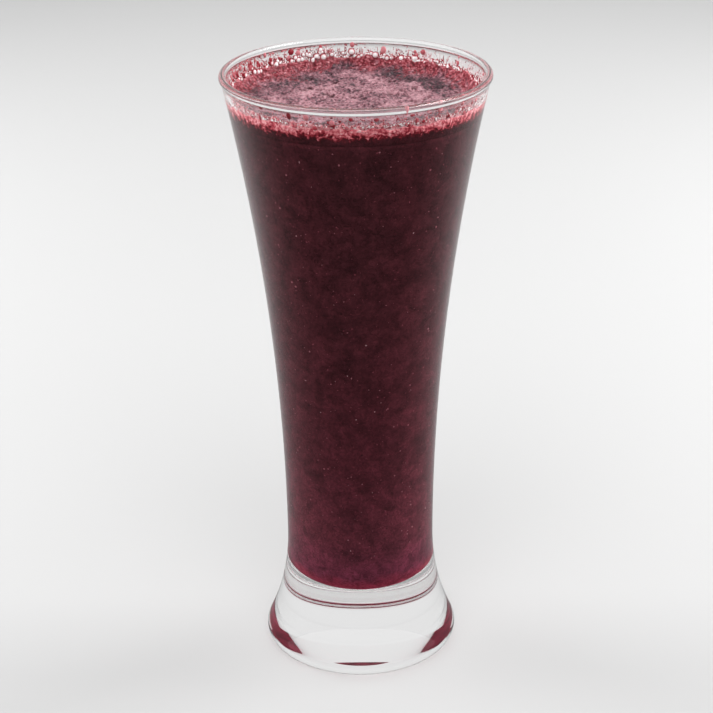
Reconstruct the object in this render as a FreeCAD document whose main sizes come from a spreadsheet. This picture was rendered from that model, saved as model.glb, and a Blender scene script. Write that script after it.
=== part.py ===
# Berry juice in its glass: a tall flared glass on a thick clear foot, filled nearly to the lip.
# Three pieces, each its own solid: the glass, the juice in its bowl, and the froth that floats on top.
# Millimetres, +Z up. The origin is the middle of the ring that the glass stands on.
import FreeCAD
import Part
import Sketcher
import math
import os
from types import SimpleNamespace

SIZES = [
    # the glass outside
    ("glass_height", 180.0, "table to the top of the lip"),
    ("rim_radius", 38.0, "widest point of the lip"),
    ("wall", 1.6, "thickness of the bowl's wall"),
    ("lip_swell", 0.25, "how far the fire-polished bead along the lip swells past half the wall"),
    ("lip_flare", 0.15, "how far that bead stands outward of the middle of the wall; less than the swell"),
    ("lip_neck", 5.0, "hollow curves from the wall into the bead, inside and out"),
    ("waist_radius", 22.2, "outside of the narrowest point"),
    ("waist_height", 35.6, "table to the narrowest point"),
    ("foot_radius", 29.2, "widest point of the foot"),
    ("foot_round", 3.5, "round edge of the foot"),
    ("ring_width", 1.8, "flat ring that touches the table"),
    ("punt_depth", 0.6, "hollow under the foot"),
    # the glass inside
    ("floor_height", 24.0, "table to the floor of the bowl, through solid glass"),
    ("floor_round", 8.0, "round between that floor and the wall"),
    # the drink
    ("headspace", 7.5, "top of the lip down to the froth"),
    ("froth_depth", 2.0, "thickness of the froth away from the wall"),
    ("collar_rise", 2.0, "how far the froth climbs the wall above its own top"),
    ("collar_crest", 0.8, "round top of that climb"),
    ("collar_sweep", 2.5, "hollow curve from the crest down to the flat top"),
    ("wet_gap", 0.1, "clearance between the drink and the glass"),
    # the large bubbles that stand in the collar
    ("bubble_count", 18, "how many"),
    ("bubble_small", 0.75, "radius of the smallest"),
    ("bubble_large", 1.1, "radius of the largest"),
    ("bubble_first", 20.0, "where they begin, in degrees round the glass"),
    ("bubble_span", 160.0, "how far round they run, in degrees"),
]

# The bowl's wall is one arc. It leaves the waist upright, and the middle of the wall ends level with the middle of
# the lip's bead, a flare inside it. BOWL_CURVE is the arc's outside radius.
LIP_BEAD = "(Sizes.wall / 2 + Sizes.lip_swell)"
WALL_ACROSS = f"(Sizes.rim_radius - {LIP_BEAD} - Sizes.lip_flare - Sizes.waist_radius)"
WALL_RISE = f"(Sizes.glass_height - {LIP_BEAD} - Sizes.waist_height)"
BOWL_CURVE = f"(({WALL_ACROSS}^2 + {WALL_RISE}^2 - (Sizes.wall / 2)^2) / (2 * {WALL_ACROSS} + Sizes.wall))"
JUICE_TOP = "Sizes.glass_height - Sizes.headspace - Sizes.froth_depth"
FROTH_TOP = "Sizes.glass_height - Sizes.headspace"
CREST_HEIGHT = FROTH_TOP + " + Sizes.collar_rise - Sizes.collar_crest"
WET_WALL = "Sizes.wall + Sizes.wet_gap"

START, END, CENTRE = 1, 2, 3  # how a sketch numbers the points of an edge
ROOT = (-1, 1)  # the sketch's own origin
AXIS = -2  # the sketch's upright axis, which is the axis of the glass
UPRIGHT = 180.0  # angle, seen from the centre of a wall's arc, at which the wall stands upright
GOLDEN_ANGLE = 137.5  # degrees


def make_sheet(doc):
    """The spreadsheet that drives the model: name, value and meaning, one alias to a row."""
    sheet = doc.addObject("Spreadsheet::Sheet", "Sizes")
    for row, (name, value, meaning) in enumerate(SIZES, start=1):
        sheet.set(f"A{row}", name)
        sheet.set(f"B{row}", str(value))
        sheet.set(f"C{row}", meaning)
        sheet.setAlias(f"B{row}", name)
    doc.recompute()
    return sheet


class Profile:
    """Half a cross-section, drawn on the XZ plane of its own body and turned about the upright axis.

    Edges start near their place, worked out from the sheet's values. Constraints then hold them, and every
    dimension is a formula of the sheet's cells."""

    def __init__(self, body, sheet):
        plane = next(feature for feature in body.Origin.OriginFeatures if feature.Role == "XZ_Plane")
        self.body = body
        self.sheet = sheet
        self.size = SimpleNamespace(**{name: float(sheet.get(name)) for name, _, _ in SIZES})
        self.sketch = body.newObject("Sketcher::SketchObject", body.Label + "_section")
        self.sketch.AttachmentSupport = (plane, [""])
        self.sketch.MapMode = "FlatFace"

    def value(self, formula):
        return float(self.sheet.evalExpression(formula))

    def line(self, start, end):
        edge = Part.LineSegment(FreeCAD.Vector(*start, 0), FreeCAD.Vector(*end, 0))
        return self.sketch.addGeometry(edge, False)

    def arc(self, centre, radius, first, last):
        """An arc that runs anticlockwise from one angle to another, in degrees."""
        circle = Part.Circle(FreeCAD.Vector(*centre, 0), FreeCAD.Vector(0, 0, 1), radius)
        edge = Part.ArcOfCircle(circle, math.radians(first), math.radians(last))
        return self.sketch.addGeometry(edge, False)

    def hold(self, kind, *where):
        return self.sketch.addConstraint(Sketcher.Constraint(kind, *where))

    def corner(self, *ends):
        self.hold("Coincident", *ends)

    def blend(self, *ends):
        self.hold("Tangent", *ends)

    def size_of(self, kind, name, formula, *where):
        value = self.value(formula)
        index = self.sketch.addConstraint(Sketcher.Constraint(kind, *where, value))
        self.sketch.renameConstraint(index, name)
        self.sketch.setExpression("Constraints." + name, formula)

    def across(self, name, formula, edge, point):
        self.size_of("DistanceX", name, formula, *ROOT, edge, point)

    def up(self, name, formula, edge, point):
        self.size_of("DistanceY", name, formula, *ROOT, edge, point)

    def radius(self, name, formula, edge):
        self.size_of("Radius", name, formula, edge)

    def turn(self):
        """Turns the closed profile into a solid."""
        self.sheet.Document.recompute()
        if self.sketch.solve() != 0:
            raise RuntimeError(self.sketch.Label + " can't be solved")
        solid = self.body.newObject("PartDesign::Revolution", self.body.Label + "_solid")
        solid.Profile = self.sketch
        solid.ReferenceAxis = (self.sketch, ["V_Axis"])
        solid.Angle = 360
        self.sketch.Visibility = False
        return solid


def wall_arc(profile, name, offset, high, low):
    """The wall of the bowl, this far inside its outer face, from one height down to a lower one."""
    size = profile.size
    bowl = profile.value(BOWL_CURVE)
    radius = bowl + profile.value(offset)
    centre = (size.waist_radius + bowl, size.waist_height)
    first, last = (UPRIGHT - math.degrees(math.asin((height - size.waist_height) / radius)) for height in (high, low))
    edge = profile.arc(centre, radius, first, last)
    profile.across(name + "_centre_across", "Sizes.waist_radius + " + BOWL_CURVE, edge, CENTRE)
    profile.up(name + "_centre_up", "Sizes.waist_height", edge, CENTRE)
    profile.radius(name + "_radius", f"{BOWL_CURVE} + {offset}", edge)
    return edge


def floor_edges(profile, gap, wall):
    """The floor of the bowl and the round corner up to its wall, drawn this gap inside the glass."""
    size = profile.size
    inset = profile.value(gap)
    bowl = profile.value(BOWL_CURVE)
    corner_height = size.floor_height + size.floor_round
    reach = bowl + size.wall + size.floor_round
    corner_across = size.waist_radius + bowl - math.sqrt(reach**2 - (size.waist_height - corner_height) ** 2)
    lean = math.degrees(math.asin((size.waist_height - corner_height) / reach))
    floor = profile.line((0, size.floor_height + inset), (corner_across, size.floor_height + inset))
    corner = profile.arc((corner_across, corner_height), size.floor_round - inset, -90, lean)
    profile.hold("Horizontal", floor)
    profile.blend(floor, END, corner, START)
    profile.blend(corner, END, wall, END)
    profile.up("floor_up", f"Sizes.floor_height + {gap}", floor, START)
    profile.radius("floor_corner", f"Sizes.floor_round - {gap}", corner)
    return floor


def direction(start, end):
    """The angle, in degrees, of the way from one point to another."""
    return math.degrees(math.atan2(end[1] - start[1], end[0] - start[0]))


def neck_centre(lip_centre, near, bowl_centre, reach):
    """The centre of the hollow curve between the bead and one face of the wall: the lower crossing of a circle of
    this reach about the wall's centre with one of bead plus neck about the bead's centre."""
    across, up = lip_centre[0] - bowl_centre[0], lip_centre[1] - bowl_centre[1]
    apart = math.hypot(across, up)
    along = (apart**2 + reach**2 - near**2) / (2 * apart)
    aside = math.sqrt(reach**2 - along**2)
    return (
        bowl_centre[0] + (along * across - aside * up) / apart,
        bowl_centre[1] + (along * up + aside * across) / apart,
    )


def lip_edges(profile, outside, inside, bowl_centre, lip_centre, outer_neck, inner_neck):
    """The bead along the lip, and the hollow curve on each side that runs into it from the wall."""
    neck = profile.size.lip_neck
    bead_radius = profile.value(LIP_BEAD)
    outer = profile.arc(outer_neck, neck, direction(outer_neck, lip_centre), direction(bowl_centre, outer_neck))
    bead = profile.arc(lip_centre, bead_radius, direction(lip_centre, outer_neck), direction(lip_centre, inner_neck))
    inner = profile.arc(inner_neck, neck, direction(inner_neck, bowl_centre), direction(inner_neck, lip_centre))
    profile.blend(outside, START, outer, END)
    profile.blend(outer, START, bead, START)
    profile.blend(bead, END, inner, END)
    profile.blend(inner, START, inside, START)
    profile.across("bead_centre_across", "Sizes.rim_radius - " + LIP_BEAD, bead, CENTRE)
    profile.up("bead_centre_up", "Sizes.glass_height - " + LIP_BEAD, bead, CENTRE)
    profile.radius("bead_radius", LIP_BEAD, bead)
    profile.radius("outer_neck", "Sizes.lip_neck", outer)
    profile.radius("inner_neck", "Sizes.lip_neck", inner)


def make_glass(doc, sheet):
    """The glass in one piece: bowl, lip, waist, solid foot, and the shallow hollow that it stands round."""
    body = doc.addObject("PartDesign::Body", "glass")
    profile = Profile(body, sheet)
    size = profile.size
    bowl = profile.value(BOWL_CURVE)
    bowl_centre = (size.waist_radius + bowl, size.waist_height)
    bead = profile.value(LIP_BEAD)
    lip_centre = (size.rim_radius - bead, size.glass_height - bead)
    foot_centre = (size.foot_radius - size.foot_round, size.foot_round)
    ring_inside = foot_centre[0] - size.ring_width

    near = bead + size.lip_neck
    outer_neck = neck_centre(lip_centre, near, bowl_centre, bowl - size.lip_neck)
    inner_neck = neck_centre(lip_centre, near, bowl_centre, bowl + size.wall + size.lip_neck)
    outside = wall_arc(profile, "outside", "0", outer_neck[1], size.waist_height)
    inside = wall_arc(profile, "inside", "Sizes.wall", inner_neck[1], size.floor_height + size.floor_round)
    lip_edges(profile, outside, inside, bowl_centre, lip_centre, outer_neck, inner_neck)

    # below the waist one hollow arc runs out to the round edge of the foot
    rise = size.waist_height - size.foot_round
    step = size.waist_radius - foot_centre[0]
    flank_curve = (rise**2 + step**2 - size.foot_round**2) / (2 * (size.foot_radius - size.waist_radius))
    flank_centre = (size.waist_radius + flank_curve, size.waist_height)
    drop = math.degrees(math.atan2(rise, flank_centre[0] - foot_centre[0]))
    flank = profile.arc(flank_centre, flank_curve, UPRIGHT, UPRIGHT + drop)
    edge = profile.arc(foot_centre, size.foot_round, -90, drop)
    profile.blend(flank, START, outside, END)
    profile.up("waist_up", "Sizes.waist_height", flank, START)
    profile.blend(flank, END, edge, END)
    profile.across("foot_centre_across", "Sizes.foot_radius - Sizes.foot_round", edge, CENTRE)
    profile.radius("foot_round", "Sizes.foot_round", edge)

    # the flat ring, and the hollow inside it
    ring = profile.line((ring_inside, 0), (foot_centre[0], 0))
    punt_curve = (ring_inside**2 + size.punt_depth**2) / (2 * size.punt_depth)
    punt_reach = math.degrees(math.asin(ring_inside / punt_curve))
    punt = profile.arc((0, size.punt_depth - punt_curve), punt_curve, 90 - punt_reach, 90)
    profile.blend(ring, END, edge, START)
    profile.hold("Horizontal", ring)
    profile.size_of("DistanceX", "ring_width", "Sizes.ring_width", ring, START, ring, END)
    profile.up("ring_up", "0", ring, START)
    profile.corner(punt, START, ring, START)
    profile.hold("PointOnObject", punt, CENTRE, AXIS)
    profile.hold("PointOnObject", punt, END, AXIS)
    profile.up("punt_up", "Sizes.punt_depth", punt, END)

    floor = floor_edges(profile, "0", inside)
    axis = profile.line((0, size.punt_depth), (0, size.floor_height))
    profile.corner(axis, START, punt, END)
    profile.corner(axis, END, floor, START)
    profile.hold("PointOnObject", floor, START, AXIS)
    profile.turn()
    return body


def make_juice(doc, sheet):
    """The juice: it fills the bowl from its floor up to the underside of the froth."""
    body = doc.addObject("PartDesign::Body", "juice")
    profile = Profile(body, sheet)
    size = profile.size
    top = profile.value(JUICE_TOP)
    wall = wall_arc(profile, "wall", WET_WALL, top, size.floor_height + size.floor_round)
    floor = floor_edges(profile, "Sizes.wet_gap", wall)
    wall_top = profile.sketch.getPoint(wall, START)
    surface = profile.line((wall_top.x, top), (0, top))
    axis = profile.line((0, top), (0, size.floor_height))
    profile.corner(surface, START, wall, START)
    profile.hold("Horizontal", surface)
    profile.up("surface_up", JUICE_TOP, surface, END)
    profile.corner(axis, START, surface, END)
    profile.corner(axis, END, floor, START)
    profile.hold("PointOnObject", floor, START, AXIS)
    profile.hold("PointOnObject", surface, END, AXIS)
    profile.turn()
    return body


def make_froth_layer(doc, sheet):
    """A thin layer of froth right across the juice, with a collar that clings to the wall."""
    body = doc.addObject("PartDesign::Body", "froth_layer")
    profile = Profile(body, sheet)
    size = profile.size
    base = profile.value(JUICE_TOP)
    top = profile.value(FROTH_TOP)
    crest_height = top + size.collar_rise - size.collar_crest
    sweep_height = top + size.collar_sweep

    wall = wall_arc(profile, "wall", WET_WALL, crest_height, base)
    wall_top = profile.sketch.getPoint(wall, START)
    wall_base = profile.sketch.getPoint(wall, END)
    crest_across = wall_top.x - size.collar_crest
    between = size.collar_crest + size.collar_sweep
    sweep_across = crest_across - math.sqrt(between**2 - (sweep_height - crest_height) ** 2)
    tilt = math.degrees(math.asin((sweep_height - crest_height) / between))
    crest = profile.arc((crest_across, crest_height), size.collar_crest, 0, UPRIGHT - tilt)
    sweep = profile.arc((sweep_across, sweep_height), size.collar_sweep, -90, -tilt)
    surface = profile.line((sweep_across, top), (0, top))
    underside = profile.line((0, base), (wall_base.x, base))
    axis = profile.line((0, top), (0, base))
    profile.blend(wall, START, crest, START)
    profile.blend(crest, END, sweep, END)
    profile.blend(sweep, START, surface, START)
    profile.corner(surface, END, axis, START)
    profile.corner(axis, END, underside, START)
    profile.corner(underside, END, wall, END)
    profile.hold("Horizontal", surface)
    profile.hold("Horizontal", underside)
    profile.hold("PointOnObject", surface, END, AXIS)
    profile.hold("PointOnObject", underside, START, AXIS)
    profile.up("crest_up", CREST_HEIGHT, crest, CENTRE)
    profile.radius("crest_round", "Sizes.collar_crest", crest)
    profile.radius("sweep_round", "Sizes.collar_sweep", sweep)
    profile.up("surface_up", FROTH_TOP, surface, END)
    profile.up("underside_up", JUICE_TOP, underside, START)
    profile.turn()
    return body


def make_bubble(doc, number):
    """One large bubble in the collar, against the wall. Its size and its place along the collar come from its
    number, and its golden-angle turn keeps neighbours unlike."""
    uneven = f"(0.5 + 0.5 * sin({number} * {GOLDEN_ANGLE} deg))"
    radius = f"(Sizes.bubble_large - (Sizes.bubble_large - Sizes.bubble_small) * {uneven})"
    angle = f"((Sizes.bubble_first + Sizes.bubble_span * ({number} + {uneven}) / Sizes.bubble_count) * 1 deg)"
    wall = (
        f"(Sizes.waist_radius + {BOWL_CURVE}"
        f" - sqrt(({BOWL_CURVE} + {WET_WALL})^2 - ({CREST_HEIGHT} - Sizes.waist_height)^2))"
    )
    bubble = doc.addObject("Part::Sphere", f"bubble_{number}")
    bubble.setExpression("Radius", radius)
    bubble.setExpression("Placement.Base.x", f"({wall} - {radius}) * cos{angle}")
    bubble.setExpression("Placement.Base.y", f"({wall} - {radius}) * sin{angle}")
    bubble.setExpression("Placement.Base.z", CREST_HEIGHT)
    bubble.Visibility = False
    return bubble


def make_froth(doc, sheet):
    """The froth: its layer and collar, with the large bubbles that stand in the collar."""
    layer = make_froth_layer(doc, sheet)
    bubbles = [make_bubble(doc, number) for number in range(int(sheet.get("bubble_count")))]
    froth = doc.addObject("Part::MultiFuse", "froth")
    froth.Shapes = [layer, *bubbles]
    return froth


def check_and_write(doc, pieces):
    """Refuses to write anything unless every object worked, then writes one file for each piece."""
    doc.recompute()
    failed = [item.Name for item in doc.Objects if "Invalid" in item.State or "Error" in item.State]
    if failed:
        raise RuntimeError("failed: " + ", ".join(failed))
    for piece in pieces:
        if piece.Shape.isNull() or not piece.Shape.isValid() or len(piece.Shape.Solids) != 1:
            raise RuntimeError(piece.Label + " isn't one valid solid")
    os.makedirs("parts", exist_ok=True)
    for piece in pieces:
        piece.Shape.exportStep(f"parts/{piece.Label}.step")
        print(f"{piece.Label}: {piece.Shape.Volume / 1000:.1f} ml, {len(piece.Shape.Faces)} faces")


document = FreeCAD.newDocument("BerryJuice")
sizes = make_sheet(document)
check_and_write(document, [make(document, sizes) for make in (make_glass, make_juice, make_froth)])
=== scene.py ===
import math
import bpy
import numpy as np
from mathutils import Matrix, Vector


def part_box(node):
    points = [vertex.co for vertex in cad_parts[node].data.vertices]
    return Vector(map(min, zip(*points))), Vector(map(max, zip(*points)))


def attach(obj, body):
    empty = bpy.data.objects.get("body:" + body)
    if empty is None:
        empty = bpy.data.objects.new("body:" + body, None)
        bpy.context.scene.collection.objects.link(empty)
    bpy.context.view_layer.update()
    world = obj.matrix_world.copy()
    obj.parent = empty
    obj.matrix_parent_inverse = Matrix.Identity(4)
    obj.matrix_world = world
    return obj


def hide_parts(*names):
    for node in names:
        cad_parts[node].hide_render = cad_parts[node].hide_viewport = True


# Berry juice in its glass. Lengths in the dictionaries are millimetres, and mm turns them into metres.
# Angles in them are degrees round the glass: 0 is to the right, 90 behind, -90 in front
mm = 0.001
seed = 11

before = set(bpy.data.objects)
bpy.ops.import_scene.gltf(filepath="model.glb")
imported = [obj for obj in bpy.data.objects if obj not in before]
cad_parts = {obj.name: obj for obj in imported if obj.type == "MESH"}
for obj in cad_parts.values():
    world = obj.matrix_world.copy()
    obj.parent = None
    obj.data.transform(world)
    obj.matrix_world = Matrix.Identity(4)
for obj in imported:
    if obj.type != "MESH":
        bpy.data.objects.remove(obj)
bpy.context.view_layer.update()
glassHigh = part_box("glass")[1]
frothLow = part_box("froth")[0]
print("frame loaded")


def linearColour(code):
    # sRGB hex to linear: c / 12.92 below 0.04045, else ((c + 0.055) / 1.055) ^ 2.4
    c = np.array([int(code[i:i + 2], 16) / 255 for i in (1, 3, 5)])
    c = np.where(c <= 0.04045, c / 12.92, ((c + 0.055) / 1.055) ** 2.4)
    return (*c.tolist(), 1.0)


def smoothStep(low, high, x):
    # 0 below low, 1 above high, and 3t^2 - 2t^3 between
    t = np.clip((x - low) / (high - low), 0, 1)
    return t * t * (3 - 2 * t)


def waveNoise(points, wavelength, salt, waves=28):
    # sum of cosines of k.p + phase, every k about 2 pi / wavelength long and turned at random, scaled to a
    # spread of about 1
    draw = np.random.default_rng(seed + salt)
    k = draw.normal(size=(waves, points.shape[-1]))
    length = 2 * math.pi / wavelength * draw.uniform(0.75, 1.3, (waves, 1))
    k *= length / np.linalg.norm(k, axis=1, keepdims=True)
    phase = draw.uniform(0, 2 * math.pi, waves)
    return np.cos(points @ k.T + phase).sum(-1) * math.sqrt(2 / waves)


def bell(angle, middle, spread):
    # a bell over the angle round the glass, in degrees: exp(-(difference / spread)^2)
    apart = (np.degrees(angle) - middle + 180) % 360 - 180
    return np.exp(-(apart / spread) ** 2)


def drawSizes(draw, limits, count, power=2):
    # random sizes between two limits, mostly small: low + (high - low) * u^power
    return limits[0] + np.ptp(limits) * draw.uniform(0, 1, count) ** power


def makePiece(name, points, quads, triangles=(), material=None, smooth=True):
    # one mesh from an array of points and arrays of corner numbers, faces already anticlockwise from outside
    quads = np.asarray(quads, np.int32).reshape(-1, 4)
    triangles = np.asarray(triangles, np.int32).reshape(-1, 3)
    corners = np.concatenate([quads.ravel(), triangles.ravel()])
    starts = np.concatenate([np.arange(len(quads)) * 4, 4 * len(quads) + np.arange(len(triangles)) * 3])
    mesh = bpy.data.meshes.new(name)
    mesh.vertices.add(len(points))
    mesh.vertices.foreach_set("co", np.asarray(points, np.float32).ravel())
    mesh.loops.add(len(corners))
    mesh.loops.foreach_set("vertex_index", corners.astype(np.int32))
    mesh.polygons.add(len(starts))
    mesh.polygons.foreach_set("loop_start", starts.astype(np.int32))
    mesh.polygons.foreach_set("use_smooth", np.full(len(starts), smooth))
    mesh.update(calc_edges=True)
    mesh.validate()
    piece = bpy.data.objects.new(name, mesh)
    bpy.context.scene.collection.objects.link(piece)
    if material:
        mesh.materials.append(material)
    return piece


def markPoints(piece, name, values):
    # a number for every point of a piece, which its material reads by this name
    layer = piece.data.attributes.new(name, "FLOAT", "POINT")
    layer.data.foreach_set("value", values.astype(np.float32).ravel())


def ringQuads(rows, around):
    # quads between neighbouring rows of a grid that closes on itself around the axis
    i, j = np.meshgrid(np.arange(rows - 1), np.arange(around), indexing="ij")
    k = (j + 1) % around
    low, high = i * around, (i + 1) * around
    return np.stack([low + j, low + k, high + k, high + j], -1).reshape(-1, 4)


def endFans(rows, around):
    # triangles that close such a grid's first and last rows to the two points that follow it in the list
    j = np.arange(around)
    k = (j + 1) % around
    last = (rows - 1) * around
    return np.concatenate([
        np.stack([k, j, np.full(around, rows * around)], -1),
        np.stack([last + j, last + k, np.full(around, rows * around + 1)], -1),
    ])


def turnProfile(radius, height, around, wobble=None):
    # the profile (radius, height) turned about Z: x = r cos a, y = r sin a. It starts and ends on the axis
    angle = np.arange(around) / around * 2 * math.pi
    r = radius[1:-1, None] * np.ones(around)
    z = height[1:-1, None] * np.ones(around)
    if wobble:
        r, z = wobble(r, z, angle[None, :])
    grid = np.stack([r * np.cos(angle), r * np.sin(angle), z], -1).reshape(-1, 3)
    rows = len(radius) - 2
    points = np.concatenate([grid, [[0, 0, height[0]], [0, 0, height[-1]]]])
    return points, ringQuads(rows, around), endFans(rows, around)


def arc(centre, radius, first, last, count):
    # points of a circle's arc between two angles in radians
    a = np.linspace(first, last, count)
    return np.stack([centre[0] + radius * np.cos(a), centre[1] + radius * np.sin(a)], -1)


def heading(start, end):
    # the angle of the way from one point to another
    return math.atan2(end[1] - start[1], end[0] - start[0])


def addNode(tree, kind, inputs=None, stops=(), **settings):
    # one node with its settings and its inputs, where a socket is linked and anything else is a plain value.
    # A colour ramp also takes its stops of (position, hex)
    node = tree.nodes.new(kind)
    for key, value in settings.items():
        setattr(node, key, value)
    for key, value in (inputs or {}).items():
        if isinstance(value, bpy.types.NodeSocket):
            tree.links.new(value, node.inputs[key])
        else:
            node.inputs[key].default_value = value
    if stops:
        elements = node.color_ramp.elements
        while len(elements) < len(stops):
            elements.new(1.0)
        for element, (position, code) in zip(elements, stops):
            element.position = position
            element.color = linearColour(code)
    return node


def newMaterial(name):
    material = bpy.data.materials.new(name)
    material.use_nodes = True
    material.node_tree.nodes.clear()
    return material, material.node_tree


# the glass flares from its waist up to the lip and down to a solid foot, with a shallow punt under it
glassShape = {
    "wall": 1.6,
    "lipSwell": 0.25,
    "lipFlare": 0.15,
    "lipNeck": 5.0,
    "waistRadius": 22.2,
    "waistHeight": 35.6,
    "footRadius": 29.2,
    "footRound": 3.5,
    "ringWidth": 1.8,
    "puntDepth": 0.6,
    "floorHeight": 24.0,
    "floorRound": 8.0,
    "around": 256,
}
wall, waistRadius, waistHeight = (glassShape[k] * mm for k in ("wall", "waistRadius", "waistHeight"))
rimRadius, glassHeight = glassHigh.x, glassHigh.z
lipBead, lipNeck = wall / 2 + glassShape["lipSwell"] * mm, glassShape["lipNeck"] * mm
lipCentre = (rimRadius - lipBead, glassHeight - lipBead)

# the bowl's arc leaves the outside of the waist upright; wallAcross and wallRise lead from there to the
# middle of the wall's top
wallAcross = lipCentre[0] - glassShape["lipFlare"] * mm - waistRadius
wallRise = lipCentre[1] - waistHeight
bowlCurve = (wallAcross ** 2 + wallRise ** 2 - (wall / 2) ** 2) / (2 * wallAcross + wall)
bowlCentre = (waistRadius + bowlCurve, waistHeight)


def bowlRadius(height, inset):
    # radius of the bowl's wall at a height, this far inside its outer face:
    # centre - sqrt((curve + inset)^2 - (height - waist)^2)
    return bowlCentre[0] - np.sqrt((bowlCurve + inset) ** 2 - (height - waistHeight) ** 2)


def bowlFloor(inset, count):
    # the floor of the bowl and its round corner, this far off the glass, from the axis to the wall
    corner = glassShape["floorRound"] * mm
    height = glassShape["floorHeight"] * mm
    reach = bowlCurve + wall + corner
    rise = waistHeight - height - corner
    centre = (bowlCentre[0] - math.sqrt(reach ** 2 - rise ** 2), height + corner)
    lean = math.asin(rise / reach)
    across = np.linspace(0, centre[0], 12)[:-1]
    flat = np.stack([across, np.full(len(across), height + inset)], -1)
    return np.concatenate([flat, arc(centre, corner - inset, -math.pi / 2, lean, count)])


def neckCentre(reach):
    # centre of the hollow curve between the lip's bead and one face of the wall: the lower crossing of a
    # circle of this reach about the bowl's centre and a circle of bead plus neck about the lip's centre
    near = lipBead + lipNeck
    across, up = lipCentre[0] - bowlCentre[0], lipCentre[1] - bowlCentre[1]
    apart = math.hypot(across, up)
    along = (apart ** 2 + reach ** 2 - near ** 2) / (2 * apart)
    aside = math.sqrt(reach ** 2 - along ** 2)
    return (bowlCentre[0] + (along * across - aside * up) / apart,
            bowlCentre[1] + (along * up + aside * across) / apart)


def glassOutline():
    # half the section of the glass, from the axis under the foot, out and up the outside, over the lip and
    # down inside: arcs that run into each other, each with its number of points
    footRadius, footRound = glassShape["footRadius"] * mm, glassShape["footRound"] * mm
    puntRadius = footRadius - footRound - glassShape["ringWidth"] * mm
    puntDepth = glassShape["puntDepth"] * mm
    puntCurve = (puntRadius ** 2 + puntDepth ** 2) / (2 * puntDepth)
    puntReach = math.asin(puntRadius / puntCurve)
    rise, step = waistHeight - footRound, waistRadius - footRadius + footRound
    flankCurve = (rise ** 2 + step ** 2 - footRound ** 2) / (2 * (footRadius - waistRadius))
    drop = math.atan2(rise, waistRadius + flankCurve - footRadius + footRound)
    outerNeck, innerNeck = neckCentre(bowlCurve - lipNeck), neckCentre(bowlCurve + wall + lipNeck)
    wallTop = heading(bowlCentre, outerNeck)
    beadEnd = heading(lipCentre, innerNeck) + 2 * math.pi
    inside = bowlFloor(0, 24)
    wallFoot = math.pi + math.asin((bowlCentre[1] - inside[-1, 1]) / (bowlCurve + wall))
    return np.concatenate([
        arc((0, puntDepth - puntCurve), puntCurve, math.pi / 2, math.pi / 2 - puntReach, 24),
        arc((footRadius - footRound, footRound), footRound, -math.pi / 2, drop, 28),
        arc((waistRadius + flankCurve, waistHeight), flankCurve, math.pi + drop, math.pi, 30)[1:],
        arc(bowlCentre, bowlCurve, math.pi, wallTop, 90)[1:],
        arc(outerNeck, lipNeck, wallTop, heading(outerNeck, lipCentre), 10)[1:],
        arc(lipCentre, lipBead, heading(lipCentre, outerNeck), beadEnd, 36)[1:],
        arc(innerNeck, lipNeck, heading(innerNeck, lipCentre), heading(innerNeck, bowlCentre), 10)[1:],
        arc(bowlCentre, bowlCurve + wall, heading(bowlCentre, innerNeck), wallFoot, 90)[1:],
        inside[::-1][1:],
    ])


def clearGlass():
    # soda-lime glass, pressed and fire polished: clear, bright at its edges, and each face lets 93 % of the
    # lamps' light through to the drink
    material, tree = newMaterial("clear_soda_lime_glass")
    glass = addNode(tree, "ShaderNodeBsdfPrincipled", {
        "Base Color": linearColour("#ffffff"), "Roughness": 0.0, "IOR": 1.5, "Transmission Weight": 1.0})
    lamp = addNode(tree, "ShaderNodeBsdfTransparent", {"Color": (0.93, 0.93, 0.93, 1)})
    ray = addNode(tree, "ShaderNodeLightPath")
    mix = addNode(tree, "ShaderNodeMixShader", {
        0: ray.outputs["Is Shadow Ray"], 1: glass.outputs[0], 2: lamp.outputs[0]})
    addNode(tree, "ShaderNodeOutputMaterial", {"Surface": mix.outputs[0]})
    return material


outline = glassOutline()
surface = turnProfile(outline[:, 0], outline[:, 1], glassShape["around"])
glassPiece = makePiece("glass_body", *surface, clearGlass())
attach(glassPiece, "root")
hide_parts("glass")
print("glass done")


# the juice reaches just into the wall, and ends a little low so that the froth's ragged side shows above it
juiceShape = {
    "intoWall": 0.10,
    "belowFroth": 1.4,
    "around": 256,
}
juiceTop = frothLow.z - juiceShape["belowFroth"] * mm


def juiceOutline():
    # half the section of the juice: floor, wall, top
    reach = juiceShape["intoWall"] * mm
    floor = bowlFloor(-reach, 24)
    height = np.linspace(floor[-1, 1], juiceTop, 90)[1:]
    side = np.stack([bowlRadius(height, wall - reach), height], -1)
    return np.concatenate([floor, side, [[0, juiceTop]]])


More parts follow.
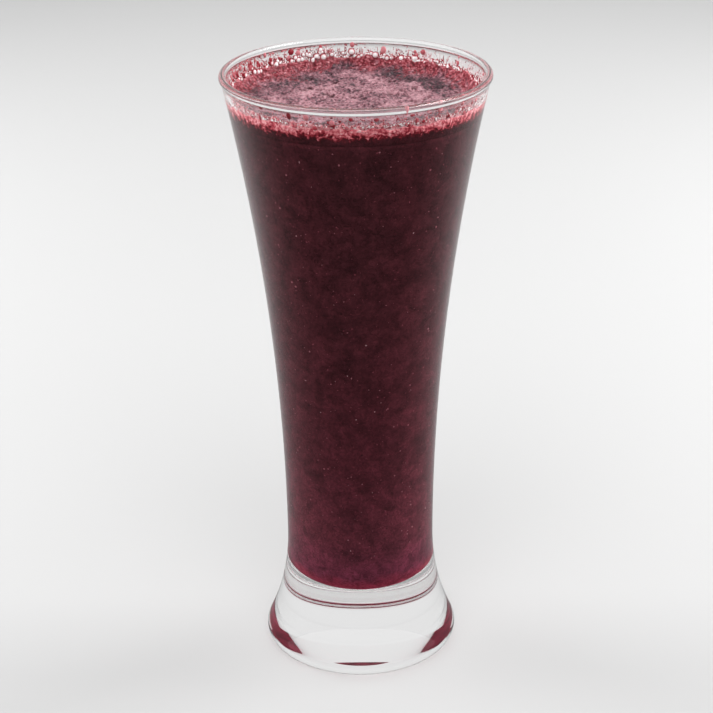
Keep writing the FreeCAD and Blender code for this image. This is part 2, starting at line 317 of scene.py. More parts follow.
def berryColour(tree, place):
    # blended berries: a dark red with curls and grains of pulp in it. Painted light makes it brighter and
    # redder down towards the floor, as if lit from below and through the thin juice over the floor
    height = addNode(tree, "ShaderNodeSeparateXYZ", {0: place}).outputs["Z"]
    cloud = addNode(tree, "ShaderNodeTexNoise", {
        "Vector": place, "Scale": 1 / (9 * mm), "Detail": 3.0, "Roughness": 0.6}).outputs["Fac"]
    drift = addNode(tree, "ShaderNodeMath", {
        0: cloud, 1: 8 * mm, 2: height}, operation="MULTIPLY_ADD").outputs[0]
    # painted light: the ramp over height runs from a bright red at the floor up to the darkest red under the
    # froth
    level = addNode(tree, "ShaderNodeMapRange", {
        0: drift, "From Min": 29 * mm, "From Max": 174 * mm}).outputs[0]
    body = addNode(tree, "ShaderNodeValToRGB", {0: level}, [
        (0.0, "#983248"), (0.012, "#8a2e42"), (0.035, "#64283a"), (0.12, "#592530"), (0.30, "#4f2029"),
        (0.6, "#471e25"), (1.0, "#421c22")]).outputs[0]
    mottle = addNode(tree, "ShaderNodeTexNoise", {
        "Vector": place, "Scale": 1 / (5 * mm), "Detail": 2.0, "Roughness": 0.6,
        "Distortion": 0.6}).outputs["Fac"]
    grain = addNode(tree, "ShaderNodeTexNoise", {
        "Vector": place, "Scale": 1 / (1.3 * mm), "Detail": 4.0, "Roughness": 0.7,
        "Distortion": 1.6}).outputs["Fac"]
    patches = addNode(tree, "ShaderNodeMapRange", {
        0: mottle, "From Min": 0.32, "From Max": 0.68, "To Min": 0.70, "To Max": 1.35}).outputs[0]
    grains = addNode(tree, "ShaderNodeMapRange", {
        0: grain, "From Min": 0.32, "From Max": 0.72, "To Min": 0.60, "To Max": 1.65}).outputs[0]
    shade = addNode(tree, "ShaderNodeMath", {0: patches, 1: grains}, operation="MULTIPLY").outputs[0]
    return addNode(tree, "ShaderNodeVectorMath", {0: body, "Scale": shade}, operation="SCALE").outputs[0]


def berryJuice():
    # blended berries pressed against the glass: opaque and evenly matt, for the shine is the glass's own
    material, tree = newMaterial("blended_berry_juice")
    place = addNode(tree, "ShaderNodeTexCoord").outputs["Object"]
    juice = addNode(tree, "ShaderNodeBsdfPrincipled", {
        "Base Color": berryColour(tree, place), "Roughness": 0.5, "Specular IOR Level": 0.0})
    addNode(tree, "ShaderNodeOutputMaterial", {"Surface": juice.outputs[0]})
    return material


outline = juiceOutline()
surface = turnProfile(outline[:, 0], outline[:, 1], juiceShape["around"])
juicePiece = makePiece("juice_body", *surface, berryJuice())
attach(juicePiece, "root")
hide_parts("juice")
print("juice done")


# the froth: a wet skin on the juice, raised in a collar at the wall. Waves are (height, length)
frothShape = {
    "intoWall": 0.14,
    "intoJuice": 0.1,
    "depth": 2.0,
    "collarRise": 2.0,
    "collarCrest": 0.8,
    "collarSweep": 2.5,
    "crestWander": 0.30,
    "around": 480,
    "sideRows": 20,
    "topRows": 120,
    "swell": (0.26, 15),
    "ridges": (0.26, 6),
    "grain": (0.10, 1.6),
    "drifts": 9,
    "driftSpread": 3.6,
    "pits": 110,
    "pitSize": (0.45, 1.25),
    "pitDepth": 0.75,
    "pores": 900,
    "poreSize": (0.22, 0.42),
    "poreDepth": 0.25,
    "foamDomes": 2600,
    "foamDomeSize": (0.30, 0.85),
    "foamDomeReach": 8.5,
    "foamWidth": 3.0,
    "foamWidthBehind": 4.0,
    "foamWander": 0.28,
    "foamFray": (0.22, 2.6),
}
frothTop = frothLow.z + frothShape["depth"] * mm
frothRim = bowlRadius(frothTop, wall)


def foamAmount(across, angle):
    # the coarse foam along the wall: 1 at the wall, 0 further in than a width that wanders and is widest
    # behind
    ring = np.stack([np.cos(angle), np.sin(angle)], -1)
    behind = smoothStep(-0.4, 0.7, np.sin(angle))
    width = frothShape["foamWidth"] + frothShape["foamWidthBehind"] * behind
    width = width * mm * (1 + frothShape["foamWander"] * waveNoise(ring, 0.5, 1, 12))
    fray, frayLength = frothShape["foamFray"]
    fray = fray * waveNoise(across[..., None] * ring, frayLength * mm, 2)
    return 1 - smoothStep(0.3, 1.0, (frothRim - across) / width + fray)


def raiseDomes(across, reach, turn, sizes, heights):
    # height of the tallest dome over each point of a polar grid: height * sqrt(1 - (distance / size)^2),
    # where distance^2 = r^2 + R^2 - 2 r R cos(difference of angle)
    around = frothShape["around"]
    step = 2 * math.pi / around
    field = np.zeros((len(across), around))
    for far, angle, size, height in zip(reach, turn, sizes, heights):
        rows = np.flatnonzero(np.abs(across - far) < size)
        half = min(int(size / max(far - size, size) / step) + 2, around // 2 - 1)
        columns = int(round(angle / step)) + np.arange(-half, half + 1)
        near = across[rows, None]
        apart = near ** 2 + far ** 2 - 2 * near * far * np.cos(columns * step - angle)
        dome = height * np.sqrt(np.clip(1 - apart / size ** 2, 0, 1))
        spot = np.ix_(rows, columns % around)
        field[spot] = np.maximum(field[spot], dome)
    return field


def frothRelief(across, angle):
    # the wet skin of the froth: swell, ridges and grain, pits where bubbles broke, and domes of foam at the
    # wall. It gives the height, and how much of each point is pit and how much is foam
    draw = np.random.default_rng(seed + 3)
    ring = np.stack([np.cos(angle), np.sin(angle)], -1)
    points = across[:, None, None] * ring
    foam = foamAmount(np.broadcast_to(across[:, None], points.shape[:2]), angle)
    swell, ridges, grain = frothShape["swell"], frothShape["ridges"], frothShape["grain"]
    lift = swell[0] * waveNoise(points, swell[1] * mm, 4)
    lift += ridges[0] * (0.6 - np.abs(waveNoise(points, ridges[1] * mm, 5)))
    lift += grain[0] * waveNoise(points, grain[1] * mm, 6, 40)

    # most pits scatter round the middles of a few drifts, and every fourth lies by itself
    count, drifts = frothShape["pits"], frothShape["drifts"]
    middles = draw.uniform(-0.75, 0.75, (drifts, 2)) * frothRim
    spots = middles[draw.integers(0, drifts, count)]
    spots = spots + draw.normal(0, frothShape["driftSpread"] * mm, (count, 2))
    spots[::4] = draw.uniform(-0.8, 0.8, (len(spots[::4]), 2)) * frothRim
    sizes = drawSizes(draw, frothShape["pitSize"], count) * mm
    reach, turn = np.hypot(*spots.T), np.arctan2(*spots.T[::-1])
    pits = raiseDomes(across, reach, turn, sizes, np.clip(sizes / mm, 0.5, 1))

    count = frothShape["pores"]
    reach = frothRim * np.sqrt(draw.uniform(0, 1, count))
    turn = draw.uniform(0, 2 * math.pi, count)
    pores = raiseDomes(across, reach, turn, draw.uniform(*frothShape["poreSize"], count) * mm, np.ones(count))

    count = frothShape["foamDomes"]
    reach = frothRim - frothShape["foamDomeReach"] * mm * draw.uniform(0, 1, count) ** 1.2
    turn = draw.uniform(0, 2 * math.pi, count)
    sizes = drawSizes(draw, frothShape["foamDomeSize"], count) * mm
    domes = raiseDomes(across, reach, turn, sizes, sizes / mm * 0.8)

    lift = lift * (1 - 0.5 * foam) + domes * foam
    lift -= (frothShape["pitDepth"] * pits + frothShape["poreDepth"] * pores) * (1 - foam)
    return lift * mm, np.maximum(pits, 0.55 * pores) * (1 - foam), foam


def frothOutline():
    # half the section of the froth: under it, up the wall, over the collar's crest, down its sweep and in to
    # the axis
    reach, topRows = frothShape["intoWall"] * mm, frothShape["topRows"]
    crest, sweep = frothShape["collarCrest"] * mm, frothShape["collarSweep"] * mm
    crestHeight = frothTop + frothShape["collarRise"] * mm - crest
    crestAcross = bowlRadius(crestHeight, wall) - crest
    rise = frothTop + sweep - crestHeight
    sweepAcross = crestAcross - math.sqrt((crest + sweep) ** 2 - rise ** 2)
    tilt = math.asin(rise / (crest + sweep))
    height = np.linspace(juiceTop - frothShape["intoJuice"] * mm, crestHeight, frothShape["sideRows"])
    side = np.stack([bowlRadius(height, wall - reach), height], -1)
    flat = np.stack([np.linspace(sweepAcross, 0, topRows), np.full(topRows, frothTop)], -1)
    return np.concatenate([
        [[0, height[0]]],
        side,
        arc((crestAcross, crestHeight), crest, 0, math.pi - tilt, 16)[1:],
        arc((sweepAcross, frothTop + sweep), sweep, -tilt, -math.pi / 2, 12)[1:],
        flat[1:],
    ])


def wetFroth():
    # froth of blended berries: a wet mauve skin stippled with fine bubbles, dark where bubbles broke, and red
    # foam at the wall. Its side, seen through the glass, goes from salmon down into the dark of the juice
    material, tree = newMaterial("wet_berry_froth")
    place = addNode(tree, "ShaderNodeTexCoord").outputs["Object"]
    pit = addNode(tree, "ShaderNodeAttribute", attribute_name="pit").outputs["Fac"]
    foam = addNode(tree, "ShaderNodeAttribute", attribute_name="foam").outputs["Fac"]
    side = addNode(tree, "ShaderNodeAttribute", attribute_name="side").outputs["Fac"]
    patch = addNode(tree, "ShaderNodeTexNoise", {
        "Vector": place, "Scale": 1 / (8 * mm), "Detail": 2.0, "Roughness": 0.5}).outputs["Fac"]
    grain = addNode(tree, "ShaderNodeTexNoise", {
        "Vector": place, "Scale": 1 / (1.0 * mm), "Detail": 4.0, "Roughness": 0.7}).outputs["Fac"]
    cell = addNode(tree, "ShaderNodeTexVoronoi", {
        "Vector": place, "Scale": 1 / (0.75 * mm)}).outputs["Distance"]

    # the skin: pale where patch and grain are high, with paler dots in the pale patches, and dark red in pits
    mixed = addNode(tree, "ShaderNodeMix", {"Factor": 0.58, "A": patch, "B": grain}).outputs["Result"]
    skin = addNode(tree, "ShaderNodeValToRGB", {0: mixed}, [
        (0.40, "#301a23"), (0.46, "#5a343f"), (0.52, "#9a6671"), (0.60, "#cc99a2")]).outputs[0]
    dots = addNode(tree, "ShaderNodeMapRange", {
        0: cell, "From Min": 0.38, "From Max": 0.12, "To Max": 0.75}).outputs[0]
    where = addNode(tree, "ShaderNodeMapRange", {0: patch, "From Min": 0.44, "From Max": 0.58}).outputs[0]
    stipple = addNode(tree, "ShaderNodeMath", {0: dots, 1: where}, operation="MULTIPLY").outputs[0]
    colour = addNode(tree, "ShaderNodeMix", {
        0: stipple, 6: skin, 7: linearColour("#c8929b")}, data_type="RGBA").outputs[2]
    colour = addNode(tree, "ShaderNodeMix", {
        0: pit, 6: colour, 7: linearColour("#3c0914")}, data_type="RGBA").outputs[2]

    # the foam at the wall: darker round its cells
    foamShade = addNode(tree, "ShaderNodeMath", {
        0: cell, 1: -0.35, 2: grain}, operation="MULTIPLY_ADD").outputs[0]
    foamColour = addNode(tree, "ShaderNodeValToRGB", {0: foamShade}, [
        (0.18, "#5c101c"), (0.32, "#8f303c"), (0.44, "#b9606a"), (0.58, "#dba0a6")]).outputs[0]
    colour = addNode(tree, "ShaderNodeMix", {
        0: foam, 6: colour, 7: foamColour}, data_type="RGBA").outputs[2]

    # the side: salmon foam with dark red between its grains, that breaks up downwards into the juice
    height = addNode(tree, "ShaderNodeSeparateXYZ", {0: place}).outputs["Z"]
    crumb = addNode(tree, "ShaderNodeTexNoise", {
        "Vector": place, "Scale": 1 / (1.6 * mm), "Detail": 3.0, "Roughness": 0.65,
        "Distortion": 0.8}).outputs["Fac"]
    level = addNode(tree, "ShaderNodeMath", {
        0: crumb, 1: 5.0 * mm, 2: height}, operation="MULTIPLY_ADD").outputs[0]
    edge = addNode(tree, "ShaderNodeMapRange", {
        0: level, "From Min": frothTop, "From Max": frothTop + 3.8 * mm},
        interpolation_type="SMOOTHSTEP").outputs[0]
    sideShade = crumb
    for socket, weight in ((grain, 0.8), (cell, -0.25), (edge, 0.5)):
        sideShade = addNode(tree, "ShaderNodeMath", {
            0: socket, 1: weight, 2: sideShade}, operation="MULTIPLY_ADD").outputs[0]
    sideShade = addNode(tree, "ShaderNodeMapRange", {
        0: sideShade, "From Min": 0.78, "From Max": 1.50}).outputs[0]
    sideFoam = addNode(tree, "ShaderNodeValToRGB", {0: sideShade}, [
        (0.0, "#5c1822"), (0.25, "#8c2632"), (0.50, "#cc5a65"), (0.75, "#ea9097"),
        (1.0, "#ffd0d2")]).outputs[0]
    foamy = addNode(tree, "ShaderNodeMapRange", {0: edge, "From Min": 0.02, "From Max": 0.40}).outputs[0]
    sideColour = addNode(tree, "ShaderNodeMix", {
        0: foamy, 6: berryColour(tree, place), 7: sideFoam}, data_type="RGBA").outputs[2]
    colour = addNode(tree, "ShaderNodeMix", {
        0: side, 6: colour, 7: sideColour}, data_type="RGBA").outputs[2]

    # no shine of its own on the side, where the glass touches it
    bumps = addNode(tree, "ShaderNodeMath", {
        0: cell, 1: -1.0, 2: grain}, operation="MULTIPLY_ADD").outputs[0]
    bump = addNode(tree, "ShaderNodeBump", {
        "Strength": 0.8, "Distance": 0.25 * mm, "Height": bumps}).outputs[0]
    shine = addNode(tree, "ShaderNodeMapRange", {0: side, "To Min": 0.5, "To Max": 0.0}).outputs[0]
    froth = addNode(tree, "ShaderNodeBsdfPrincipled", {
        "Base Color": colour, "Roughness": 0.3, "IOR": 1.36, "Specular IOR Level": shine, "Normal": bump})
    addNode(tree, "ShaderNodeOutputMaterial", {"Surface": froth.outputs[0]})
    return material


def makeFroth():
    outline = frothOutline()
    marks = {}

    def shapeFroth(r, z, angle):
        # the side keeps to the glass; the crest wanders up and down; the relief fades in over the crest. Rows
        # are counted from the side's top
        ring = np.stack([np.cos(angle), np.sin(angle)], -1)
        wander = waveNoise(ring, 0.25, 8, 20) + 0.5 * waveNoise(ring, 0.07, 9, 20)
        wander = frothShape["crestWander"] * mm * wander
        row = np.arange(len(r))[:, None] - frothShape["sideRows"]
        lift, pit, foam = frothRelief(r[:, 0], angle[0])
        over = smoothStep(-1, 7, row)
        marks.update(pit=pit * over, foam=foam, side=1 - smoothStep(3, 12, row) + 0 * r)
        return r, z + lift * over + wander * smoothStep(-12, 0, row) * (1 - smoothStep(14, 32, row))

    surface = turnProfile(outline[:, 0], outline[:, 1], frothShape["around"], shapeFroth)
    piece = makePiece("froth_top", *surface, wetFroth())
    for name, values in marks.items():
        markPoints(piece, name, np.append(values, [0.0, 0.0]))
    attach(piece, "root")
    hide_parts("froth")


makeFroth()
print("froth done")


def scatterBalls(name, frames, sizes, tone, rings, around, material):
    # one small ball, copied into one joined mesh: centre + sum of size * axis * unit. Its crown and foot lie
    # on its third axis, off the wall. band is the ball's own height without its sign, so that a material can
    # tell its edge from its middle
    centres, axes = frames
    lat = -math.pi / 2 + np.arange(1, rings + 1) / (rings + 1) * math.pi
    lon = np.arange(around) / around * 2 * math.pi
    flat, tall = np.cos(lat)[:, None], np.sin(lat)[:, None]
    grid = np.stack([flat * np.cos(lon), flat * np.sin(lon), tall + 0 * lon], -1)
    ball = np.concatenate([grid.reshape(-1, 3), [[0, 0, -1], [0, 0, 1]]])
    points = centres[:, None] + np.einsum("pi,nij->npj", ball, sizes[:, :, None] * axes)
    first = (np.arange(len(centres)) * len(ball))[:, None, None]
    quads, fans = ringQuads(rings, around)[None] + first, endFans(rings, around)[None] + first
    piece = makePiece(name, points.reshape(-1, 3), quads, fans, material)
    markPoints(piece, "tone", np.broadcast_to(tone[:, None], points.shape[:2]))
    markPoints(piece, "band", np.broadcast_to(np.abs(ball[:, 2]), points.shape[:2]))
    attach(piece, "root")


def wallFrames(angle, height, off):
    # where a thing sits on the inside of the bowl, this far off it, and its axes: round, up the wall, inwards
    across = bowlRadius(height, wall) - off
    lean = np.arcsin((height - waistHeight) / (bowlCurve + wall))
    inward = np.stack([-np.cos(lean) * np.cos(angle), -np.cos(lean) * np.sin(angle), np.sin(lean)], -1)
    sideways = np.stack([-np.sin(angle), np.cos(angle), np.zeros(len(angle))], -1)
    up = np.cross(inward, sideways)
    centre = np.stack([across * np.cos(angle), across * np.sin(angle), height], -1)
    return centre, np.stack([sideways, up, inward], 1)


# bubbles stand in the back of the collar, the large ones in a row, and one drift of the others climbs the
# wall; a fringe of fine ones goes all round
bubbleField = {
    "small": 620,
    "smallSize": (0.16, 0.42),
    "middle": 130,
    "middleSize": (0.45, 0.80),
    "large": 16,
    "largeSize": (0.80, 1.15),
    "largeRow": (55, 150),
    "fringe": 520,
    "fringeSize": (0.14, 0.34),
    "middleAngle": 88,
    "spread": 62,
    "aboveFroth": 1.9,
    "belowLip": 1.6,
    "climb": 3.4,
    "climbAngle": 108,
    "climbSpread": 9,
}


def bubbleFilm():
    # thin wet films of froth: whitish in the middle, a painted highlight on the side that faces into the
    # glass, and red round the edge, where the film thickens. They are drawn opaque, because clear ones turn
    # dark inside the clear glass
    material, tree = newMaterial("froth_bubble_film")
    tone = addNode(tree, "ShaderNodeAttribute", attribute_name="tone").outputs["Fac"]
    band = addNode(tree, "ShaderNodeAttribute", attribute_name="band").outputs["Fac"]
    # painted highlight: white where the ball's crown faces into the glass, red towards its edge
    shade = addNode(tree, "ShaderNodeMath", {0: tone, 1: 0.35, 2: band}, operation="MULTIPLY_ADD").outputs[0]
    colour = addNode(tree, "ShaderNodeValToRGB", {0: shade}, [
        (0.42, "#8a1f2c"), (0.60, "#c4636d"), (0.76, "#f0d0d3"), (0.92, "#ffffff")]).outputs[0]
    bubble = addNode(tree, "ShaderNodeBsdfPrincipled", {"Base Color": colour, "Roughness": 0.15, "IOR": 1.34})
    addNode(tree, "ShaderNodeOutputMaterial", {"Surface": bubble.outputs[0]})
    return material


def makeBubbles():
    draw = np.random.default_rng(seed + 20)
    kinds = ("small", "middle", "large", "fringe")
    size = np.concatenate([draw.uniform(*bubbleField[k + "Size"], bubbleField[k]) for k in kinds]) * mm
    kind = np.repeat(kinds, [bubbleField[k] for k in kinds])
    angle = np.radians(bubbleField["middleAngle"] + bubbleField["spread"] * draw.normal(0, 0.8, len(size)))
    row = np.linspace(*bubbleField["largeRow"], bubbleField["large"])
    angle[kind == "large"] = np.radians(row + draw.normal(0, 3, len(row)))
    angle[kind == "fringe"] = draw.uniform(0, 2 * math.pi, bubbleField["fringe"])
    climb = np.abs(draw.normal(0, 0.5, len(size))) * mm
    drift = bell(angle, bubbleField["climbAngle"], bubbleField["climbSpread"])
    light = size < bubbleField["largeSize"][0] * mm
    climb += bubbleField["climb"] * mm * draw.uniform(0, 1, len(size)) * drift * light
    height = frothTop + bubbleField["aboveFroth"] * mm + climb
    keep = height < lipCentre[1] - bubbleField["belowLip"] * mm
    size, angle, height = size[keep], angle[keep], height[keep]
    frames = wallFrames(angle, height, size * 0.8)
    tone = draw.uniform(-0.4, 0.6, len(size))
    scatterBalls("froth_bubbles", frames, np.repeat(size[:, None], 3, 1), tone, 6, 12, bubbleFilm())


# fine specks and drops thin out up the wall, but not behind on the left. Each thicket is (weight, angle,
# spread). Streaks rise from the froth behind, and a line of specks marks where the wall runs into the lip
speckField = {
    "fine": 2300,
    "fineSize": (0.07, 0.20),
    "drops": 330,
    "dropSize": (0.20, 0.85),
    "aboveFroth": 1.4,
    "belowLip": 0.8,
    "everywhere": 0.20,
    "thickets": ((0.8, 152, 32), (0.35, -60, 60), (0.5, 62, 5)),
    "thinning": 0.6,
    "thickToTheTop": (152, 30),
    "streaks": 150,
    "streakAngle": (35, 150),
    "streakHeight": (1.8, 4.2),
    "streakWide": (0.08, 0.15),
    "streakTall": (0.4, 1.1),
    "line": 170,
    "lineAngle": (85, 175),
    "lineWander": 0.22,
    "lineWide": (0.12, 0.34),
    "lineTall": (0.08, 0.2),
}


def berrySpecks():
    # drops and crumbs of berry that the froth left on the glass: dark red to pink, with a dull shine
    material, tree = newMaterial("dried_berry_specks")
    tone = addNode(tree, "ShaderNodeAttribute", attribute_name="tone").outputs["Fac"]
    colour = addNode(tree, "ShaderNodeValToRGB", {0: tone}, [
        (0.0, "#74141f"), (0.45, "#a33440"), (1.0, "#d98a91")]).outputs[0]
    speck = addNode(tree, "ShaderNodeBsdfPrincipled", {"Base Color": colour, "Roughness": 0.35, "IOR": 1.34})
    addNode(tree, "ShaderNodeOutputMaterial", {"Surface": speck.outputs[0]})
    return material


def makeSpecks():
    draw = np.random.default_rng(seed + 30)
    low, top = frothTop + speckField["aboveFroth"] * mm, lipCentre[1] - speckField["belowLip"] * mm
    count = speckField["fine"] + speckField["drops"]
    many = 4 * count
    angle = draw.uniform(0, 2 * math.pi, many)
    height = draw.uniform(low, top, many)
    drop = np.arange(many) % count < speckField["drops"]
    likely = speckField["everywhere"]
    for weight, middle, spread in speckField["thickets"]:
        likely = likely + weight * bell(angle, middle, spread)
    thick = bell(angle, *speckField["thickToTheTop"])
    likely = likely * (1 - speckField["thinning"] * ((height - low) / (top - low)) * (1 - thick))
    likely = np.where(drop, likely * 0.7, likely)
    keep = np.flatnonzero(draw.uniform(0, 1, many) < likely)[:count]
    angle, height, drop = angle[keep], height[keep], drop[keep]
    dropSize = drawSizes(draw, speckField["dropSize"], len(keep), 2.5)
    size = np.where(drop, dropSize, draw.uniform(*speckField["fineSize"], len(keep)))
    wide, tall = size * draw.uniform(0.7, 1.3, len(keep)), size * draw.uniform(0.7, 1.5, len(keep))

    count = speckField["streaks"]
    angle = np.append(angle, np.radians(draw.uniform(*speckField["streakAngle"], count)))
    height = np.append(height, frothTop + draw.uniform(*speckField["streakHeight"], count) * mm)
    wide = np.append(wide, draw.uniform(*speckField["streakWide"], count))
    tall = np.append(tall, draw.uniform(*speckField["streakTall"], count))

    count = speckField["line"]
    angle = np.append(angle, np.radians(draw.uniform(*speckField["lineAngle"], count)))
    height = np.append(height, top - np.abs(draw.normal(0, speckField["lineWander"], count)) * mm)
    wide = np.append(wide, draw.uniform(*speckField["lineWide"], count))
    tall = np.append(tall, draw.uniform(*speckField["lineTall"], count))

    frames = wallFrames(angle, height, np.zeros(len(angle)))
    sizes = np.stack([wide, tall, 0.5 * np.minimum(wide, tall)], -1) * mm
    tone = draw.uniform(0, 1, len(angle))
    scatterBalls("wall_specks", frames, sizes, tone, 3, 8, berrySpecks())


# crumbs of pulp lie flat against the glass, and stand this proud of the juice
pulpField = {
    "count": 4200,
    "size": (0.06, 0.24),
    "proud": 0.035,
    "lowest": 34,
    "intoFroth": 0.5,
}


def berryPulp():
    # crumbs of pulp and skin, wet against the glass and so without a shine of their own: a little paler than
    # the juice, and a few pinkish grey
    material, tree = newMaterial("berry_pulp_crumbs")
    tone = addNode(tree, "ShaderNodeAttribute", attribute_name="tone").outputs["Fac"]
    colour = addNode(tree, "ShaderNodeValToRGB", {0: tone}, [
        (0.0, "#34151b"), (0.30, "#5c2630"), (0.80, "#8c4450"), (0.97, "#a86a74"),
        (1.0, "#c49aa0")]).outputs[0]
    pulp = addNode(tree, "ShaderNodeBsdfPrincipled", {
        "Base Color": colour, "Roughness": 0.6, "Specular IOR Level": 0.0})
    addNode(tree, "ShaderNodeOutputMaterial", {"Surface": pulp.outputs[0]})
    return material


def makePulp():
    draw = np.random.default_rng(seed + 40)
    count = pulpField["count"]
    angle = draw.uniform(0, 2 * math.pi, count)
    height = draw.uniform(pulpField["lowest"] * mm, juiceTop + pulpField["intoFroth"] * mm, count)
    size = drawSizes(draw, pulpField["size"], count) * mm
    frames = wallFrames(angle, height, np.full(count, -juiceShape["intoWall"] * mm))
    stretch = draw.uniform(0.7, 1.5, (count, 2)) * size[:, None]
    sizes = np.column_stack([stretch, np.full(count, pulpField["proud"] * mm)])
    scatterBalls("pulp_crumbs", frames, sizes, draw.uniform(0, 1, count), 3, 7, berryPulp())


makeBubbles()
makeSpecks()
makePulp()
print("bubbles, specks and pulp done")


# the film that the froth left on the wall; it fades out between the two heights
filmShape = {
    "offWall": 0.004,
    "thick": 0.03,
    "aboveFroth": 1.0,
    "top": 178.4,
    "fade": (174, 178),
    "rows": 24,
    "around": 256,
}


def berryFilm():
    # a thin smear of drained froth: nearly clear, pinkish, in runs down the glass
    material, tree = newMaterial("drained_froth_film")
    place = addNode(tree, "ShaderNodeTexCoord").outputs["Object"]
    runs = addNode(tree, "ShaderNodeMapping", {"Vector": place, "Scale": (1, 1, 0.3)}).outputs[0]
    smear = addNode(tree, "ShaderNodeTexNoise", {
        "Vector": runs, "Scale": 1 / (3 * mm), "Detail": 4.0, "Roughness": 0.6}).outputs["Fac"]
    height = addNode(tree, "ShaderNodeSeparateXYZ", {0: place}).outputs["Z"]
    full, gone = filmShape["fade"]
    fade = addNode(tree, "ShaderNodeMapRange", {
        0: height, "From Min": gone * mm, "From Max": full * mm, "To Min": -0.12, "To Max": 0.08}).outputs[0]
    amount = addNode(tree, "ShaderNodeMath", {0: smear, 1: fade}, operation="ADD").outputs[0]
    cover = addNode(tree, "ShaderNodeMapRange", {
        0: amount, "From Min": 0.45, "From Max": 0.75, "To Min": 0.02, "To Max": 0.30}).outputs[0]
    film = addNode(tree, "ShaderNodeBsdfPrincipled", {
        "Base Color": linearColour("#f0c4c9"), "Roughness": 0.4, "IOR": 1.34, "Alpha": cover})
    addNode(tree, "ShaderNodeOutputMaterial", {"Surface": film.outputs[0]})
    return material


def makeFilm():
    # a closed band on the inside of the bowl: up its outer face, down its inner face, and back to the start
    low, top = frothTop + filmShape["aboveFroth"] * mm, filmShape["top"] * mm
    rows, around = filmShape["rows"], filmShape["around"]
    height = np.concatenate([np.linspace(low, top, rows), np.linspace(top, low, rows)])
    inset = wall + np.repeat([filmShape["offWall"], filmShape["thick"]], rows) * mm
    r = bowlRadius(height, inset)[:, None]
    angle = np.arange(around) / around * 2 * math.pi
    points = np.stack([r * np.cos(angle), r * np.sin(angle), height[:, None] + 0 * angle], -1)
    closing = ringQuads(2, around)
    closing = np.where(closing < around, closing + (2 * rows - 1) * around, closing - around)
    quads = np.concatenate([ringQuads(2 * rows, around), closing])
    piece = makePiece("wall_film", points.reshape(-1, 3), quads, material=berryFilm())
    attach(piece, "root")


makeFilm()
print("film done")


# a pale floor in a pale room. In mirrors the floor is dark in front and brightens between the two distances
stageLook = {
    "floorSize": 8000,
    "floorColour": "#c6c6c6",
    "floorMirrored": (0.07, 0.62),
    "floorBrightens": (-160, 260),
    "worldLight": 0.45,
    "worldSeen": 0.80,
}


def makeFloor():
    # pale matt card, which keeps the glass's shadow
    half = stageLook["floorSize"] / 2 * mm
    material, tree = newMaterial("pale_floor_card")
    ray = addNode(tree, "ShaderNodeLightPath")
    mirror = addNode(tree, "ShaderNodeMath", {
        0: ray.outputs["Is Glossy Ray"], 1: ray.outputs["Is Transmission Ray"]},
        operation="SUBTRACT", use_clamp=True)
    card = addNode(tree, "ShaderNodeBsdfDiffuse", {"Color": linearColour(stageLook["floorColour"])})
    place = addNode(tree, "ShaderNodeTexCoord").outputs["Object"]
    depth = addNode(tree, "ShaderNodeSeparateXYZ", {0: place}).outputs["Y"]
    (front, back), (low, high) = stageLook["floorBrightens"], stageLook["floorMirrored"]
    # painted reflection: to mirrors the floor is an emission instead of lit card, dark in front and brighter
    # behind
    glow = addNode(tree, "ShaderNodeMapRange", {
        0: depth, "From Min": front * mm, "From Max": back * mm, "To Min": low, "To Max": high},
        interpolation_type="SMOOTHSTEP")
    mirrored = addNode(tree, "ShaderNodeEmission", {"Color": (1, 1, 1, 1), "Strength": glow.outputs[0]})
    mix = addNode(tree, "ShaderNodeMixShader", {
        0: mirror.outputs[0], 1: card.outputs[0], 2: mirrored.outputs[0]})
    addNode(tree, "ShaderNodeOutputMaterial", {"Surface": mix.outputs[0]})
    corners = [(-half, -half, 0), (half, -half, 0), (half, half, 0), (-half, half, 0)]
    floor = makePiece("floor", corners, [(0, 1, 2, 3)], material=material, smooth=False)


def makeWorld():
    # the room lights the glass evenly, and is brighter to the camera, in mirrors and through the glass
    world = bpy.data.worlds.new("pale_room")
    bpy.context.scene.world = world
    world.use_nodes = True
    tree = world.node_tree
    tree.nodes.clear()
    ray = addNode(tree, "ShaderNodeLightPath")
    seen = addNode(tree, "ShaderNodeMath", {
        0: ray.outputs["Is Camera Ray"], 1: ray.outputs["Is Glossy Ray"]}, operation="MAXIMUM")
    seen = addNode(tree, "ShaderNodeMath", {
        0: seen.outputs[0], 1: ray.outputs["Is Transmission Ray"]}, operation="MAXIMUM")
    strength = addNode(tree, "ShaderNodeMapRange", {
        0: seen.outputs[0], "To Min": stageLook["worldLight"], "To Max": stageLook["worldSeen"]})
    light = addNode(tree, "ShaderNodeBackground", {"Color": (1, 1, 1, 1), "Strength": strength.outputs[0]})
    addNode(tree, "ShaderNodeOutputWorld", {"Surface": light.outputs[0]})


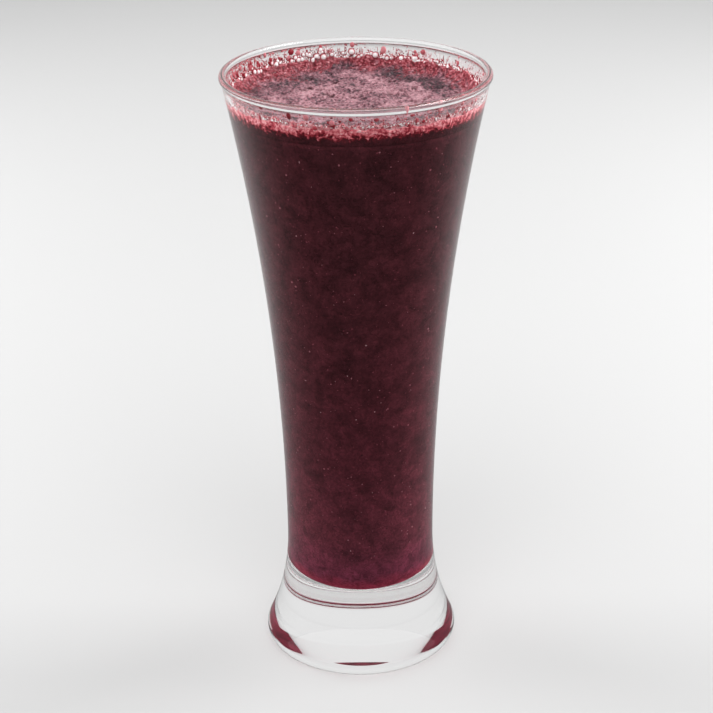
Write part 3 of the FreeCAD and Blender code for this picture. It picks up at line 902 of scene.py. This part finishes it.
# soft lamps at the sides, above and over the floor behind; the panel only shows as a pale streak in wet skins
softboxes = {
    "softbox_left": {"place": (-760, 270, 300), "size": (500, 500), "power": 7.0},
    "softbox_right": {"place": (760, 270, 300), "size": (500, 500), "power": 8.5},
    "softbox_above": {"place": (0, -420, 820), "size": (700, 500), "power": 3.9},
    "softbox_floor": {"place": (0, 750, 520), "size": (1100, 500), "power": 1.6, "aim": (0, 750, 0)},
    "panel_right": {"place": (540, 110, 890), "size": (560, 300), "power": 5.0, "mirrored": True},
}


def makeLamp(name, place, size, power, aim=(0, 0, 90), mirrored=False):
    # a soft rectangle turned towards its aim. A mirrored one shows in wet and shiny surfaces and lights
    # nothing else; the others light the drink and the floor, and no mirror shows them
    lamp = bpy.data.lights.new(name, "AREA")
    lamp.shape = "RECTANGLE"
    lamp.size, lamp.size_y = (side * mm for side in size)
    lamp.energy = power
    holder = bpy.data.objects.new(name, lamp)
    bpy.context.scene.collection.objects.link(holder)
    holder.location = Vector(place) * mm
    holder.rotation_euler = ((Vector(aim) - Vector(place)) * mm).to_track_quat("-Z", "Y").to_euler()
    holder.visible_camera = holder.visible_transmission = False
    holder.visible_glossy, holder.visible_diffuse = mirrored, not mirrored


cameraView = {
    "distance": 507.5,
    "height": 319.2,
    "aimHeight": 93.4,
    "aimAcross": -0.6,
    "lens": 95.03,
    "roll": -0.0104,
}


def makeCamera():
    # in front of the glass, looking down at it, and rolled a little
    camera = bpy.data.cameras.new("camera")
    camera.lens = cameraView["lens"]
    camera.sensor_width = 36
    camera.clip_start = 0.01
    holder = bpy.data.objects.new("camera", camera)
    bpy.context.scene.collection.objects.link(holder)
    place = Vector((0, -cameraView["distance"], cameraView["height"])) * mm
    target = Vector((cameraView["aimAcross"], 0, cameraView["aimHeight"])) * mm
    turn = (target - place).to_track_quat("-Z", "Y").to_matrix() @ Matrix.Rotation(cameraView["roll"], 3, "Z")
    holder.matrix_world = Matrix.Translation(place) @ turn.to_4x4()
    bpy.context.scene.camera = holder


makeFloor()
makeWorld()
for name, softbox in softboxes.items():
    makeLamp(name, **softbox)
makeCamera()
bpy.context.scene.view_settings.view_transform = "Standard"
print("stage done")
